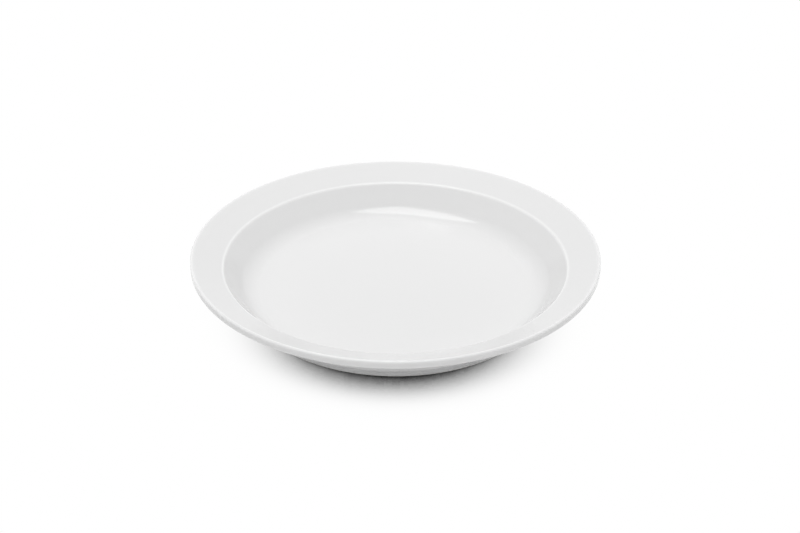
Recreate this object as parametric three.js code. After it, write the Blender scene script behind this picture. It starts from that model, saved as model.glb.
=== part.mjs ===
// A semi-deep plate: one pressed, fired and glazed porcelain body, round about the Z axis.
// Units are millimetres and +Z is up. The origin is the middle of the circle that the foot ring stands on.
import * as THREE from "three";

// Driving dimensions of the upper side
const plateDiameter = 235; // over the lip
const plateHeight = 29.9; // from the table to the top of the lip
const rimWidth = 18.5; // from the lip to the well's edge, seen from above
const rimRise = 7.3; // how far the rim's face climbs over that width
const wallRun = 13; // from the well's edge to the floor's corner, seen from above

// Driving dimensions of the body and of its foot ring
const bodyThickness = 4.35; // wall and rim, square to their faces
const floorThickness = 4.2;
const footHollow = 2.4; // depth of the hollow inside the foot ring
const footSetOut = 1; // how far the foot ring's outer face lies beyond the floor's corner
const footShoulder = 3.9; // height of the foot ring's outer face
const footWidth = 4.8; // foot ring, across its lower end
const footDraft = 0.8; // how far the foot ring's inner face leans in, from its bottom to its top

// Radii that round the outline's corners
const lipTopRadius = 1.1;
const lipBottomRadius = 0.8;
const wellEdgeRadius = 1.2;
const wellFloorRadius = 14;
const rimRootRadius = 8; // under the rim, where it meets the wall
const heelRadius = 10; // under the wall, where it turns in to the foot ring
const footShoulderRadius = 2.5;
const footEdgeRadius = 1.1;
const footHollowRadius = 1.6;

// Fineness of the facets
const facetsAround = 96;
const arcStep = THREE.MathUtils.degToRad(18);
const fullestStretch = 0.96; // the most of a straight stretch that the arcs at its two ends may use

const corner = (radius, height, rounding = 0) => ({
  point: new THREE.Vector2(radius, height),
  rounding,
});

// A corner of the underside: the two faces that meet at a corner of the upper side, set back by a thickness.
function setBack(before, at, after, thickness) {
  const backOf = (from, to) => {
    const way = to.clone().sub(from).normalize();
    return new THREE.Vector2(way.y, -way.x);
  };
  const first = backOf(before, at);
  const second = backOf(at, after);
  const mitre = first.clone().add(second);
  return at.clone().addScaledVector(mitre, thickness / (1 + first.dot(second)));
}

// The outline with its corners rounded. Where two arcs would meet on a stretch, both shrink alike.
function roundedOutline(corners) {
  const points = corners.map(({ point }) => point);
  const way = (from, to) => points[to].clone().sub(points[from]).normalize();
  const halfAngle = (i) => Math.acos(way(i, i - 1).dot(way(i, i + 1))) / 2;
  const reaches = corners.map(({ rounding }, i) => (rounding ? rounding / Math.tan(halfAngle(i)) : 0));
  const share = (i, j) => {
    const room = fullestStretch * points[i].distanceTo(points[j]);
    return Math.min(1, room / (reaches[i] + reaches[j]));
  };

  return points.flatMap((point, i) => {
    if (!reaches[i]) return [point];
    const back = way(i, i - 1);
    const ahead = way(i, i + 1);
    const reach = reaches[i] * Math.min(share(i - 1, i), share(i, i + 1));
    const start = point.clone().addScaledVector(back, reach);
    const inwards = back.clone().add(ahead).normalize();
    const centre = point.clone().addScaledVector(inwards, reach / Math.cos(halfAngle(i)));
    const turn = Math.sign(ahead.cross(back)) * (Math.PI - 2 * halfAngle(i));
    const steps = Math.max(2, Math.ceil(Math.abs(turn) / arcStep));
    return Array.from({ length: steps + 1 }, (_, step) =>
      start.clone().rotateAround(centre, (turn * step) / steps),
    );
  });
}

// Half of the plate's section: out along the upper side, round the lip, and back along the underside.
function plateOutline() {
  const lipRadius = plateDiameter / 2;
  const wellRadius = lipRadius - rimWidth;
  const floorRadius = wellRadius - wallRun;
  const floorLevel = footHollow + floorThickness;

  // The lip's rounded top is at the plate's full height, so its sharp corner lies a little above that.
  const rimSlope = rimRise / rimWidth;
  const lipCornerLevel = plateHeight + lipTopRadius * (rimSlope + Math.hypot(1, rimSlope) - 1);
  const wellEdgeLevel = lipCornerLevel - rimRise;
  const wallSlope = (wellEdgeLevel - floorLevel) / wallRun;

  // The underside follows the rim and the wall at the body's thickness, and these meet at the rim's root.
  const floorCorner = new THREE.Vector2(floorRadius, floorLevel);
  const wellEdge = new THREE.Vector2(wellRadius, wellEdgeLevel);
  const lipCorner = new THREE.Vector2(lipRadius, lipCornerLevel);
  const root = setBack(floorCorner, wellEdge, lipCorner, bodyThickness);
  const lipBottomLevel = root.y + rimSlope * (lipRadius - root.x);

  // The heel is where the wall's underside meets a face that climbs from the foot ring half as steeply.
  const footRadius = floorRadius + footSetOut;
  const footInnerRadius = footRadius - footWidth;
  const heelSlope = Math.tan(Math.atan(wallSlope) / 2);
  const rootAboveHeelFace = root.y - footShoulder - heelSlope * (root.x - footRadius);
  const heelRun = rootAboveHeelFace / (wallSlope - heelSlope);
  const heel = root.clone().sub(new THREE.Vector2(heelRun, heelRun * wallSlope));

  return roundedOutline([
    corner(0, floorLevel),
    corner(floorRadius, floorLevel, wellFloorRadius),
    corner(wellRadius, wellEdgeLevel, wellEdgeRadius),
    corner(lipRadius, lipCornerLevel, lipTopRadius),
    corner(lipRadius, lipBottomLevel, lipBottomRadius),
    corner(root.x, root.y, rimRootRadius),
    corner(heel.x, heel.y, heelRadius),
    corner(footRadius, footShoulder, footShoulderRadius),
    corner(footRadius, 0, footEdgeRadius),
    corner(footInnerRadius, 0, footEdgeRadius),
    corner(footInnerRadius - footDraft, footHollow, footHollowRadius),
    corner(0, footHollow),
  ]);
}

// The solid of an outline turned about +Z. LatheGeometry turns one about +Y, from its lower end to its upper.
function turnedSolid(outline) {
  const solid = new THREE.LatheGeometry(outline.toReversed(), facetsAround);
  return solid.rotateX(Math.PI / 2);
}

const glazedPorcelain = new THREE.MeshStandardMaterial({
  color: 0xeeeeec,
  roughness: 0.12,
  metalness: 0,
});

const plate = new THREE.Mesh(turnedSolid(plateOutline()), glazedPorcelain);
plate.name = "plate";

const part = new THREE.Group();
part.add(plate);

export default part;
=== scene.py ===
"""A semi-deep plate of glazed porcelain, modelled round its CAD frame and set on a white studio table."""

import math
from collections import namedtuple

import bpy
from mathutils import Matrix, Vector


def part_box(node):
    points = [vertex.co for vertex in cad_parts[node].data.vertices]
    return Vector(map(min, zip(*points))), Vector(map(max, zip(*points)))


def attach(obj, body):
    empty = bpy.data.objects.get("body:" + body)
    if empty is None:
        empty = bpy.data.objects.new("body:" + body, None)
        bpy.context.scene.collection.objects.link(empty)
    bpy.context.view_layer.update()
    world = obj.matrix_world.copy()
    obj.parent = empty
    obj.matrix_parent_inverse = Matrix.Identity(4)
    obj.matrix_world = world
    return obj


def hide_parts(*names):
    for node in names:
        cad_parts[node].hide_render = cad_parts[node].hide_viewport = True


bl_info = {
    "name": "Semi-deep plate",
    "version": (1, 0, 0),
    "blender": (4, 5, 0),
    "location": "View3D > Sidebar > Plate",
    "description": "Models a glazed porcelain plate with a semi-deep well and sets it on a studio table",
    "category": "Object",
}

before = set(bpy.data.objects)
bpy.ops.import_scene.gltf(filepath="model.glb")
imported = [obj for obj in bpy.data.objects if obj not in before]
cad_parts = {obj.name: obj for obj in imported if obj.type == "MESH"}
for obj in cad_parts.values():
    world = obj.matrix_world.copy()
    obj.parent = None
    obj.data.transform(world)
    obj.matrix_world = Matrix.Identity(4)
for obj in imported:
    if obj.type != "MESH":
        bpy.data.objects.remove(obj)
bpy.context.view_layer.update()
PLATE_LOW, PLATE_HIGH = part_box("plate")

MM = 0.001

# Fineness of the turned mesh
SIDES = 192
ARC_STEP = math.radians(3)
SMALL_ARC_STEP = math.radians(6)
SMALL_RADIUS = 2 * MM
LONGEST_STRAIGHT = 6 * MM
MERGE_DISTANCE = 0.005 * MM

WHITE = (1, 1, 1, 1)
PORCELAIN_IOR = 1.5  # of the body and of the glaze over it
ROUGHNESS_SPREAD = 0.2  # how far the glaze's roughness strays, as a share of it
SHADOW_SAMPLES = 64
TABLE_RADIUS = 8  # in metres, so that its edge lies far outside the picture
TABLE_DROP = 0.02 * MM  # keeps the table's face clear of the foot ring's

# Places of the colour sockets on a Mix node, which has sockets of the same names for numbers and vectors
MIX_FACTOR, MIX_A, MIX_B, MIX_RESULT = 0, 6, 7, 2

Corner = namedtuple("Corner", "point rounding")


def linear(hex_code):
    """The linear colour, with alpha, of an sRGB hex code."""
    parts = [int(hex_code[i:i + 2], 16) / 255 for i in (0, 2, 4)]
    return [v / 12.92 if v <= 0.04045 else ((v + 0.055) / 1.055) ** 2.4 for v in parts] + [1.0]


def length(name, description, millimetres):
    """A property that holds a length, with its default in millimetres."""
    return bpy.props.FloatProperty(
        name=name, description=description, default=millimetres * MM, unit="LENGTH", precision=5
    )


def angle(name, description, degrees):
    """A property that holds an angle, with its default in degrees."""
    return bpy.props.FloatProperty(
        name=name, description=description, default=math.radians(degrees), subtype="ANGLE"
    )


def share(name, description, default):
    """A property that holds a number from 0 to 1."""
    return bpy.props.FloatProperty(
        name=name, description=description, default=default, min=0, max=1, subtype="FACTOR"
    )


def place(name, description, millimetres):
    """A property that holds a point, with its default in millimetres."""
    return bpy.props.FloatVectorProperty(
        name=name, description=description, default=[v * MM for v in millimetres], subtype="TRANSLATION"
    )


def spread(name, description, millimetres):
    """A property that holds a width and a depth, with its default in millimetres."""
    return bpy.props.FloatVectorProperty(
        name=name, description=description, default=[v * MM for v in millimetres], size=2, unit="LENGTH"
    )


def power(name, description, watts):
    """A property that holds a lamp's power."""
    return bpy.props.FloatProperty(name=name, description=description, default=watts, min=0, unit="POWER")


def colour(name, description, hex_code):
    """A property that holds a colour, with its default as an sRGB hex code."""
    return bpy.props.FloatVectorProperty(
        name=name, description=description, default=linear(hex_code), size=4, min=0, max=1, subtype="COLOR"
    )


class PlateSizes(bpy.types.PropertyGroup):
    """The sizes of the plate's section."""

    diameter: length("Diameter", "Over the lip", (PLATE_HIGH.x - PLATE_LOW.x) / MM)
    height: length("Height", "From the table to the top of the lip", (PLATE_HIGH.z - PLATE_LOW.z) / MM)
    rim_width: length("Rim width", "From the lip to the well's edge, seen from above", 18.5)
    rim_rise: length("Rim rise", "How far the rim's face climbs over its width", 7.3)
    wall_run: length("Wall run", "From the well's edge to the floor's corner, seen from above", 13)
    body_thickness: length("Body thickness", "Wall and rim, square to their faces", 4.35)
    floor_thickness: length("Floor thickness", "Between the well and the foot's hollow", 4.2)
    foot_hollow: length("Foot hollow", "Depth of the hollow inside the foot ring", 2.4)
    foot_set_out: length("Foot set-out", "How far the foot ring lies beyond the floor's corner", 1)
    foot_shoulder: length("Foot shoulder", "Height of the foot ring's outer face", 3.9)
    foot_width: length("Foot width", "Foot ring, across its lower end", 4.8)
    foot_draft: length("Foot draft", "How far the foot ring's inner face leans in", 0.8)
    lip_top_radius: length("Lip top radius", "Rounding of the lip's upper edge", 1.1)
    lip_bottom_radius: length("Lip bottom radius", "Rounding of the lip's lower edge", 0.8)
    well_edge_radius: length("Well edge radius", "Rounding where the rim meets the wall", 1.2)
    well_floor_radius: length("Well floor radius", "Fillet where the wall meets the floor", 14)
    rim_root_radius: length("Rim root radius", "Fillet under the rim, where it meets the wall", 8)
    heel_radius: length("Heel radius", "Rounding under the wall, where it turns in to the foot ring", 10)
    foot_shoulder_radius: length("Foot shoulder radius", "Fillet above the foot ring", 2.5)
    foot_edge_radius: length("Foot edge radius", "Rounding of the foot ring's lower edges", 1.1)
    foot_hollow_radius: length("Foot hollow radius", "Fillet inside the foot ring", 1.6)
    glaze_line: length("Glaze line", "Height below which the foot ring is bare", 0.45)


class PlateFinish(bpy.types.PropertyGroup):
    """The colours and the gloss of the glaze and of the bare porcelain."""

    glaze: colour("Glaze", "Clear glaze over white porcelain", "EEEEEE")
    # Lighter glaze at the well edge and the lip top: partly thin glaze, partly a painted highlight along
    # these edges.
    thin_glaze_highlight: colour("Thin glaze", "Where the glaze draws back from an edge", "FAFAFA")
    pooled_glaze: colour("Pooled glaze", "Where the glaze gathers in a corner", "EDEDED")
    glaze_roughness: share("Glaze roughness", "Roughness of the fired glaze", 0.1)
    bare_light: colour("Bare porcelain, light", "Grains of the unglazed foot", "E9E5DC")
    bare_dark: colour("Bare porcelain, dark", "Pores of the unglazed foot", "D9D3C8")
    bare_roughness: share("Bare roughness", "Roughness of the unglazed foot", 0.8)


class StudioSettings(bpy.types.PropertyGroup):
    """The table, the light and the view."""

    table: colour("Table", "White table top", "FBFBFB")
    shadow_reach: length("Shadow reach", "How far from the plate it shades the table", 50)
    shadow_lean: angle("Shadow lean", "How far from upright the two lights that the plate shades lean", 45)
    shadow_turn: angle("Shadow turn", "How far to the left and right of straight back they stand", 30)
    shadow_core: share("Shadow core", "How open to these lights the shadow's darkest place is", 0.185)
    shadow_exposure: bpy.props.FloatProperty(
        name="Shadow exposure", description="How soon the shaded table turns white", default=18, min=0
    )
    shadow_haze: share("Shadow haze", "How far the shadow pales where the glaze mirrors it", 0.55)
    back_sky: share("Back sky", "Brightness of the room's walls behind the plate", 0.31)
    front_sky: share("Front sky", "Brightness of the room where it is brightest, above the front", 0.51)
    sky_lean: angle("Sky lean", "How far the room's brightest side leans to the front", 37)
    softbox_place: place("Softbox place", "Middle of the lamp above the plate", (-200, -150, 2000))
    softbox_size: spread("Softbox size", "From left to right, and from front to back", (1780, 1100))
    softbox_power: power("Softbox power", "Light of the lamp above the plate", 17.4)
    side_place: place("Side lamp place", "Middle of the right lamp, mirrored for the left", (464, 268, 450))
    side_size: spread("Side lamp size", "Width and height of each side lamp", (500, 500))
    left_power: power("Left power", "Light of the left lamp", 0.68)
    right_power: power("Right power", "Light of the right lamp", 0.78)
    view_distance: length("View distance", "From the camera to what it aims at", 822.5)
    view_elevation: angle("View elevation", "How steeply the camera looks down", 29.75)
    view_roll: angle("View roll", "How far the camera leans to one side", 0.23)
    aim_right: length("Aim right", "What the camera aims at, right of the plate's middle", 2.6)
    aim_back: length("Aim back", "What the camera aims at, behind the plate's middle", 7.8)
    aim_height: length("Aim height", "What the camera aims at, above the table", 13.7)
    lens: bpy.props.FloatProperty(
        name="Lens", description="Focal length", default=63.1, subtype="DISTANCE_CAMERA"
    )


def add_node(tree, kind, settings=(), inputs=()):
    """Adds a node. An input is a value, or another node's output that is linked to it."""
    new = tree.nodes.new(kind)
    for name, value in dict(settings).items():
        setattr(new, name, value)
    for name, value in dict(inputs).items():
        if isinstance(value, bpy.types.NodeSocket):
            tree.links.new(value, new.inputs[name])
        else:
            new.inputs[name].default_value = value
    return new


def new_material(name):
    """A material with no nodes yet, and its node tree."""
    material = bpy.data.materials.new(name)
    material.use_nodes = True
    material.node_tree.nodes.clear()
    return material, material.node_tree


def glazed_porcelain(finish, corners):
    """White porcelain under a clear fired glaze: a bright, even body with a sharp gloss over it.

    At the well edge and the lip top the glaze is painted lighter, partly where it draws back and partly as
    a painted highlight. It gathers in the corners and lies in slow shallow waves.
    """
    material, tree = new_material("glazed porcelain")
    where = add_node(tree, "ShaderNodeTexCoord").outputs["Object"]
    height = add_node(tree, "ShaderNodeSeparateXYZ", inputs={0: where}).outputs["Z"]
    level = add_node(tree, "ShaderNodeVectorMath", {"operation": "MULTIPLY"}, {0: where, 1: (1, 1, 0)})
    radius = add_node(tree, "ShaderNodeVectorMath", {"operation": "LENGTH"}, {0: level.outputs["Vector"]})
    section = add_node(tree, "ShaderNodeCombineXYZ", inputs={"X": radius.outputs["Value"], "Z": height})

    # Slow changes in the glaze's thickness
    patch_size = 40 * MM
    patches = add_node(
        tree, "ShaderNodeTexNoise", inputs={"Vector": where, "Scale": 1 / patch_size, "Detail": 2}
    )
    patchy = add_node(
        tree,
        "ShaderNodeMix",
        {"data_type": "RGBA"},
        {MIX_FACTOR: patches.outputs["Fac"], MIX_A: finish.glaze, MIX_B: finish.pooled_glaze},
    )
    tint = patchy.outputs[MIX_RESULT]

    # Each ring of the section tints the glaze over a short reach. It is darker where the glaze gathers in a
    # corner, and lighter at the well edge and the lip top, partly as thinner glaze and partly as a painted
    # highlight.
    rings = (
        ("well floor", 12 * MM, finish.pooled_glaze),
        ("foot shoulder", 4 * MM, finish.pooled_glaze),
        # The lighter rings at the well edge and the lip top are partly thin glaze and partly a painted
        # highlight.
        ("well edge", 1.8 * MM, finish.thin_glaze_highlight),
        ("lip top", 3.2 * MM, finish.thin_glaze_highlight),
    )
    for name, reach, glaze_tint_and_highlight in rings:
        gap = add_node(
            tree,
            "ShaderNodeVectorMath",
            {"operation": "DISTANCE"},
            {0: section.outputs["Vector"], 1: corners[name].point},
        )
        nearness = add_node(
            tree,
            "ShaderNodeMapRange",
            {"interpolation_type": "SMOOTHSTEP"},
            {"Value": gap.outputs["Value"], "From Min": reach, "From Max": 0},
        )
        mix = add_node(
            tree,
            "ShaderNodeMix",
            {"data_type": "RGBA"},
            {MIX_FACTOR: nearness.outputs["Result"], MIX_A: tint, MIX_B: glaze_tint_and_highlight},
        )
        tint = mix.outputs[MIX_RESULT]

    # Shallow waves that fired glaze keeps from its flow in the kiln
    wave_size = 5 * MM
    wave_depth = 0.004 * MM
    waves = add_node(
        tree, "ShaderNodeTexNoise", inputs={"Vector": where, "Scale": 1 / wave_size, "Detail": 1}
    )
    wavy = add_node(
        tree,
        "ShaderNodeBump",
        inputs={"Strength": 1, "Distance": wave_depth, "Height": waves.outputs["Fac"]},
    )
    gloss = add_node(
        tree,
        "ShaderNodeMapRange",
        inputs={
            "Value": patches.outputs["Fac"],
            "To Min": finish.glaze_roughness * (1 - ROUGHNESS_SPREAD),
            "To Max": finish.glaze_roughness * (1 + ROUGHNESS_SPREAD),
        },
    )
    shader = add_node(
        tree,
        "ShaderNodeBsdfPrincipled",
        inputs={
            "Base Color": tint,
            "Roughness": gloss.outputs["Result"],
            "IOR": PORCELAIN_IOR,
            "Normal": wavy.outputs["Normal"],
        },
    )
    add_node(tree, "ShaderNodeOutputMaterial", inputs={"Surface": shader.outputs["BSDF"]})
    return material


def bare_porcelain(finish):
    """Unglazed fired porcelain, wiped clean before the kiln: warm white, matt and finely grained."""
    material, tree = new_material("bare porcelain")
    where = add_node(tree, "ShaderNodeTexCoord").outputs["Object"]
    # The real grain is about 0.1 mm, which is drawn coarser so that it shows.
    grain_size = 0.5 * MM
    grain_depth = 0.02 * MM
    grain = add_node(
        tree, "ShaderNodeTexNoise", inputs={"Vector": where, "Scale": 1 / grain_size, "Detail": 3}
    )
    tint = add_node(
        tree,
        "ShaderNodeMix",
        {"data_type": "RGBA"},
        {MIX_FACTOR: grain.outputs["Fac"], MIX_A: finish.bare_dark, MIX_B: finish.bare_light},
    )
    rough = add_node(
        tree,
        "ShaderNodeBump",
        inputs={"Strength": 1, "Distance": grain_depth, "Height": grain.outputs["Fac"]},
    )
    shader = add_node(
        tree,
        "ShaderNodeBsdfPrincipled",
        inputs={
            "Base Color": tint.outputs[MIX_RESULT],
            "Roughness": finish.bare_roughness,
            "IOR": PORCELAIN_IOR,
            "Normal": rough.outputs["Normal"],
        },
    )
    add_node(tree, "ShaderNodeOutputMaterial", inputs={"Surface": shader.outputs["BSDF"]})
    return material


def seen_directly(tree):
    """A socket that is 1 where the camera, a reflection or a clear body looks, and 0 elsewhere."""
    path = add_node(tree, "ShaderNodeLightPath").outputs
    seen = path["Is Camera Ray"]
    for ray in ("Is Glossy Ray", "Is Transmission Ray"):
        either = add_node(tree, "ShaderNodeMath", {"operation": "MAXIMUM"}, {0: seen, 1: path[ray]})
        seen = either.outputs["Value"]
    return seen


def both_sides(at_right):
    """A place or a direction at the right and its mirror image at the left, with the left one first."""
    right = Vector(at_right)
    return Vector((-right.x, right.y, right.z)), right


def table_white(studio):
    """A matt white table top. To the eye it is plain white, but for the plate's soft shadow."""
    material, tree = new_material("matt white table")
    material.cycles.emission_sampling = "NONE"
    paper = add_node(tree, "ShaderNodeBsdfDiffuse", inputs={"Color": studio.table})

    # How much of the light from the back left and from the back right the plate leaves open
    lean, turn = studio.shadow_lean, studio.shadow_turn
    towards_right = (math.sin(lean) * math.sin(turn), math.sin(lean) * math.cos(turn), math.cos(lean))
    openings = []
    for towards in both_sides(towards_right):
        way = add_node(tree, "ShaderNodeCombineXYZ", inputs=dict(enumerate(towards)))
        opening = add_node(
            tree,
            "ShaderNodeAmbientOcclusion",
            {"samples": SHADOW_SAMPLES},
            {"Distance": studio.shadow_reach, "Normal": way.outputs["Vector"]},
        )
        openings.append(opening.outputs["AO"])
    both = add_node(tree, "ShaderNodeMath", {"operation": "ADD"}, dict(enumerate(openings)))

    # White is reached gently, as on an overexposed picture.
    exposure = studio.shadow_exposure
    dose = add_node(
        tree,
        "ShaderNodeMath",
        {"operation": "MULTIPLY_ADD"},
        {0: both.outputs["Value"], 1: -exposure / len(openings), 2: exposure * studio.shadow_core},
    )
    dark = add_node(tree, "ShaderNodeMath", {"operation": "EXPONENT"}, {0: dose.outputs["Value"]})
    shade = add_node(
        tree,
        "ShaderNodeMath",
        {"operation": "SUBTRACT", "use_clamp": True},
        {0: 1, 1: dark.outputs["Value"]},
    )
    shaded = add_node(tree, "ShaderNodeEmission", inputs={"Color": shade.outputs["Value"], "Strength": 1})

    # The shadow is worked out only as far as it reaches, and the gloss sees it paler.
    where = add_node(tree, "ShaderNodeTexCoord").outputs["Object"]
    mirrored = add_node(tree, "ShaderNodeLightPath").outputs["Is Glossy Ray"]
    haze = add_node(
        tree, "ShaderNodeMath", {"operation": "MULTIPLY"}, {0: mirrored, 1: studio.shadow_haze}
    )
    distance = add_node(tree, "ShaderNodeVectorMath", {"operation": "LENGTH"}, {0: where})
    limit = PLATE_HIGH.x + studio.shadow_reach
    far = add_node(
        tree, "ShaderNodeMath", {"operation": "GREATER_THAN"}, {0: distance.outputs["Value"], 1: limit}
    )
    plain = add_node(
        tree,
        "ShaderNodeMath",
        {"operation": "MAXIMUM"},
        {0: far.outputs["Value"], 1: haze.outputs["Value"]},
    )
    white = add_node(tree, "ShaderNodeEmission", inputs={"Color": WHITE, "Strength": 1})
    shown = add_node(
        tree,
        "ShaderNodeMixShader",
        inputs={0: plain.outputs["Value"], 1: shaded.outputs["Emission"], 2: white.outputs["Emission"]},
    )
    mix = add_node(
        tree,
        "ShaderNodeMixShader",
        inputs={0: seen_directly(tree), 1: paper.outputs["BSDF"], 2: shown.outputs["Shader"]},
    )
    add_node(tree, "ShaderNodeOutputMaterial", inputs={"Surface": mix.outputs["Shader"]})
    return material


def set_back(before, at, after, thickness):
    """The corner under a corner of the upper side, where its two faces are set back by a thickness."""
    backs = []
    for start, end in ((before, at), (at, after)):
        way = (end - start).normalized()
        backs.append(Vector((way.z, 0, -way.x)))
    return at + sum(backs, Vector()) * (thickness / (1 + backs[0].dot(backs[1])))


def section_corners(sizes):
    """The corners of half the plate's section: out along the upper side and back along the underside."""
    lip_radius = sizes.diameter / 2
    well_radius = lip_radius - sizes.rim_width
    floor_radius = well_radius - sizes.wall_run
    floor_level = sizes.foot_hollow + sizes.floor_thickness

    # The lip's rounded top is at the plate's full height, so its sharp corner lies a little above that.
    rim_slope = sizes.rim_rise / sizes.rim_width
    lip_level = sizes.height + sizes.lip_top_radius * (rim_slope + math.hypot(1, rim_slope) - 1)
    well_edge_level = lip_level - sizes.rim_rise
    wall_slope = (well_edge_level - floor_level) / sizes.wall_run

    # The underside follows the rim and the wall at the body's thickness, and these meet at the rim's root.
    floor = Vector((floor_radius, 0, floor_level))
    well_edge = Vector((well_radius, 0, well_edge_level))
    lip = Vector((lip_radius, 0, lip_level))
    root = set_back(floor, well_edge, lip, sizes.body_thickness)
    lip_bottom_level = root.z + rim_slope * (lip_radius - root.x)

    # The heel is where the wall's underside meets a face that climbs from the foot ring half as steeply.
    foot_radius = floor_radius + sizes.foot_set_out
    heel_slope = math.tan(math.atan(wall_slope) / 2)
    root_above_heel_face = root.z - sizes.foot_shoulder - heel_slope * (root.x - foot_radius)
    heel_run = root_above_heel_face / (wall_slope - heel_slope)
    heel = root - Vector((heel_run, 0, heel_run * wall_slope))
    foot_inner_radius = foot_radius - sizes.foot_width
    hollow_radius = foot_inner_radius - sizes.foot_draft

    return {
        "floor middle": Corner(Vector((0, 0, floor_level)), 0),
        "well floor": Corner(floor, sizes.well_floor_radius),
        "well edge": Corner(well_edge, sizes.well_edge_radius),
        "lip top": Corner(lip, sizes.lip_top_radius),
        "lip bottom": Corner(Vector((lip_radius, 0, lip_bottom_level)), sizes.lip_bottom_radius),
        "rim root": Corner(root, sizes.rim_root_radius),
        "heel": Corner(heel, sizes.heel_radius),
        "foot shoulder": Corner(Vector((foot_radius, 0, sizes.foot_shoulder)), sizes.foot_shoulder_radius),
        "foot edge": Corner(Vector((foot_radius, 0, 0)), sizes.foot_edge_radius),
        "foot inner edge": Corner(Vector((foot_inner_radius, 0, 0)), sizes.foot_edge_radius),
        "hollow corner": Corner(Vector((hollow_radius, 0, sizes.foot_hollow)), sizes.foot_hollow_radius),
        "hollow middle": Corner(Vector((0, 0, sizes.foot_hollow)), 0),
    }


def draw_straight(start, end):
    """Extrudes the selected vertex from start to end, in steps of about the same length."""
    way = end - start
    steps = max(1, math.ceil(way.length / LONGEST_STRAIGHT))
    for _ in range(steps):
        bpy.ops.mesh.extrude_vertices_move(TRANSFORM_OT_translate={"value": way / steps})


def draw_section(corners):
    """Draws the section in edit mode from one vertex, by extruding its straights and spinning its arcs."""
    corners = list(corners.values())
    drawn_to = corners[0].point
    bpy.ops.transform.translate(value=drawn_to)
    for before, at, after in zip(corners, corners[1:], corners[2:]):
        back = (before.point - at.point).normalized()
        ahead = (after.point - at.point).normalized()
        half_angle = back.angle(ahead) / 2
        reach = at.rounding / math.tan(half_angle)
        arc_start = at.point + back * reach
        arc_end = at.point + ahead * reach
        centre = at.point + (back + ahead).normalized() * (at.rounding / math.sin(half_angle))
        turn = math.copysign(math.pi - 2 * half_angle, back.cross(ahead).y)
        step = SMALL_ARC_STEP if at.rounding < SMALL_RADIUS else ARC_STEP
        draw_straight(drawn_to, arc_start)
        bpy.ops.mesh.spin(
            steps=math.ceil(abs(turn) / step),
            angle=turn,
            center=centre,
            axis=(0, 1, 0),
            use_auto_merge=False,
        )
        drawn_to = arc_end
    draw_straight(drawn_to, corners[-1].point)


def turn_section():
    """Turns the section that was drawn about +Z into one closed body."""
    bpy.ops.mesh.select_all(action="SELECT")
    bpy.ops.mesh.spin(steps=SIDES, angle=2 * math.pi, center=(0, 0, 0), axis=(0, 0, 1), use_auto_merge=True)
    bpy.ops.mesh.select_all(action="SELECT")
    bpy.ops.mesh.remove_doubles(threshold=MERGE_DISTANCE)
    bpy.ops.mesh.normals_make_consistent(inside=False)


class PLATE_OT_model_plate(bpy.types.Operator):
    """Turn the plate's body from its section, and glaze it"""

    bl_idname = "plate.model_plate"
    bl_label = "Model the plate"
    bl_options = {"REGISTER", "UNDO"}

    def execute(self, context):
        sizes = context.scene.plate_sizes
        finish = context.scene.plate_finish
        corners = section_corners(sizes)

        bpy.ops.object.select_all(action="DESELECT")
        bpy.ops.mesh.primitive_plane_add(size=LONGEST_STRAIGHT, location=(0, 0, 0))
        plate = context.object
        plate.name = plate.data.name = "porcelain_plate"
        plate.data.materials.append(glazed_porcelain(finish, corners))
        plate.data.materials.append(bare_porcelain(finish))

        # The plane shrinks to the one vertex that the section is drawn from.
        bpy.ops.object.mode_set(mode="EDIT")
        bpy.ops.mesh.merge(type="CENTER")
        draw_section(corners)
        turn_section()
        bpy.ops.object.mode_set(mode="OBJECT")

        for face in plate.data.polygons:
            face.material_index = 1 if face.center.z < sizes.glaze_line else 0
        bpy.ops.object.shade_smooth()
        bpy.ops.object.modifier_add(type="WEIGHTED_NORMAL")
        bpy.ops.object.modifier_apply(modifier=plate.modifiers[-1].name)

        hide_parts("plate")
        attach(plate, "root")
        return {"FINISHED"}


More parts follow.
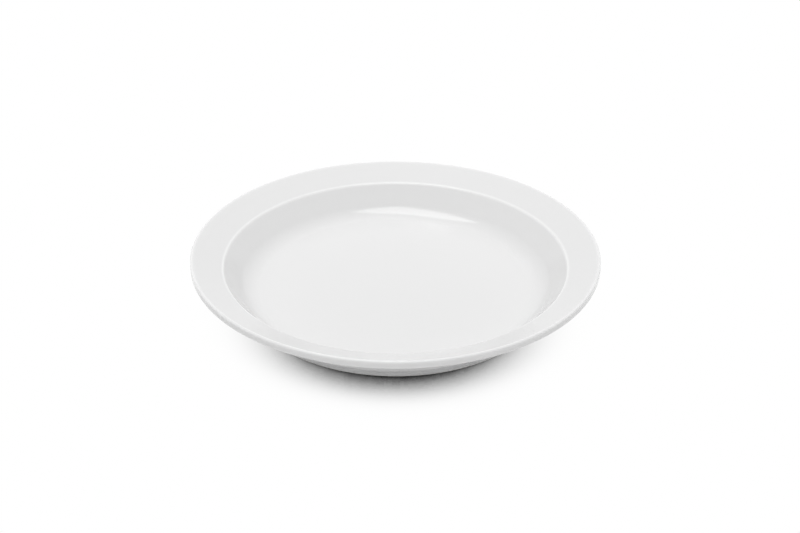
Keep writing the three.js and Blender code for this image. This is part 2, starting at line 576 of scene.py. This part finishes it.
class PLATE_OT_set_stage(bpy.types.Operator):
    """Set the table, the light and the camera"""

    bl_idname = "plate.set_stage"
    bl_label = "Set the stage"
    bl_options = {"REGISTER", "UNDO"}

    def execute(self, context):
        studio = context.scene.plate_studio
        context.scene.view_settings.view_transform = "Standard"

        bpy.ops.object.select_all(action="DESELECT")
        bpy.ops.mesh.primitive_circle_add(
            vertices=SIDES, radius=TABLE_RADIUS, fill_type="NGON", location=(0, 0, PLATE_LOW.z - TABLE_DROP)
        )
        table = context.object
        table.name = table.data.name = "table_top"
        table.data.materials.append(table_white(studio))

        left, right = both_sides(studio.side_place)
        lamps = (
            ("softbox", studio.softbox_place, studio.softbox_size, studio.softbox_power, True),
            ("left_lamp", left, studio.side_size, studio.left_power, False),
            ("right_lamp", right, studio.side_size, studio.right_power, False),
        )
        for lamp in lamps:
            self.hang_lamp(context, *lamp)
        self.light_room(context, studio)
        self.place_camera(context, studio)
        return {"FINISHED"}

    def hang_lamp(self, context, name, middle, size, watts, mirrored):
        """An area lamp that faces the plate, out of the picture, and that the glaze mirrors or not."""
        facing = (-Vector(middle)).to_track_quat("-Z", "Y").to_euler()
        bpy.ops.object.light_add(type="AREA", location=middle, rotation=facing)
        lamp = context.object
        lamp.name = lamp.data.name = name
        lamp.data.shape = "RECTANGLE"
        lamp.data.size, lamp.data.size_y = size
        lamp.data.energy = watts
        lamp.visible_camera = False
        lamp.visible_glossy = mirrored

    def light_room(self, context, studio):
        """A white room: a dome of soft light, plain white behind the plate and in its gloss."""
        world = bpy.data.worlds.new("white room")
        context.scene.world = world
        world.use_nodes = True
        tree = world.node_tree
        tree.nodes.clear()
        where = add_node(tree, "ShaderNodeTexCoord").outputs["Generated"]
        brightest = (0, -math.sin(studio.sky_lean), math.cos(studio.sky_lean))
        towards = add_node(
            tree, "ShaderNodeVectorMath", {"operation": "DOT_PRODUCT"}, {0: where, 1: brightest}
        )
        strength = add_node(
            tree,
            "ShaderNodeMapRange",
            {"interpolation_type": "SMOOTHSTEP"},
            {"Value": towards.outputs["Value"], "To Min": studio.back_sky, "To Max": studio.front_sky},
        )
        dome = add_node(tree, "ShaderNodeBackground", inputs={"Strength": strength.outputs["Result"]})
        white = add_node(tree, "ShaderNodeBackground", inputs={"Strength": 1})
        for background in (dome, white):
            background.inputs["Color"].default_value = WHITE
        mix = add_node(
            tree,
            "ShaderNodeMixShader",
            inputs={0: seen_directly(tree), 1: dome.outputs["Background"], 2: white.outputs["Background"]},
        )
        add_node(tree, "ShaderNodeOutputWorld", inputs={"Surface": mix.outputs["Shader"]})

    def place_camera(self, context, studio):
        """A camera in front of the plate, looking down at it."""
        aim = Vector((studio.aim_right, studio.aim_back, studio.aim_height))
        away = Vector((0, -math.cos(studio.view_elevation), math.sin(studio.view_elevation)))
        tilt = Matrix.Rotation(math.pi / 2 - studio.view_elevation, 3, "X")
        roll = Matrix.Rotation(studio.view_roll, 3, "Z")
        bpy.ops.object.camera_add(
            location=aim + away * studio.view_distance, rotation=(tilt @ roll).to_euler()
        )
        camera = context.object
        camera.name = camera.data.name = "camera"
        camera.data.lens = studio.lens
        context.scene.camera = camera


class PLATE_PT_sidebar(bpy.types.Panel):
    """The plate's sizes, finish and stage"""

    bl_idname = "PLATE_PT_sidebar"
    bl_label = "Semi-deep plate"
    bl_space_type = "VIEW_3D"
    bl_region_type = "UI"
    bl_category = "Plate"

    def draw(self, context):
        groups = (
            (context.scene.plate_sizes, None),
            (context.scene.plate_finish, PLATE_OT_model_plate),
            (context.scene.plate_studio, PLATE_OT_set_stage),
        )
        for group, operator in groups:
            box = self.layout.box()
            for name in group.__annotations__:
                box.prop(group, name)
            if operator:
                box.operator(operator.bl_idname)


CLASSES = (
    PlateSizes,
    PlateFinish,
    StudioSettings,
    PLATE_OT_model_plate,
    PLATE_OT_set_stage,
    PLATE_PT_sidebar,
)


def register():
    for cls in CLASSES:
        bpy.utils.register_class(cls)
    bpy.types.Scene.plate_sizes = bpy.props.PointerProperty(type=PlateSizes)
    bpy.types.Scene.plate_finish = bpy.props.PointerProperty(type=PlateFinish)
    bpy.types.Scene.plate_studio = bpy.props.PointerProperty(type=StudioSettings)


def unregister():
    del bpy.types.Scene.plate_studio
    del bpy.types.Scene.plate_finish
    del bpy.types.Scene.plate_sizes
    for cls in reversed(CLASSES):
        bpy.utils.unregister_class(cls)


def main():
    register()
    bpy.ops.plate.model_plate()
    bpy.ops.plate.set_stage()


if __name__ == "__main__":
    main()
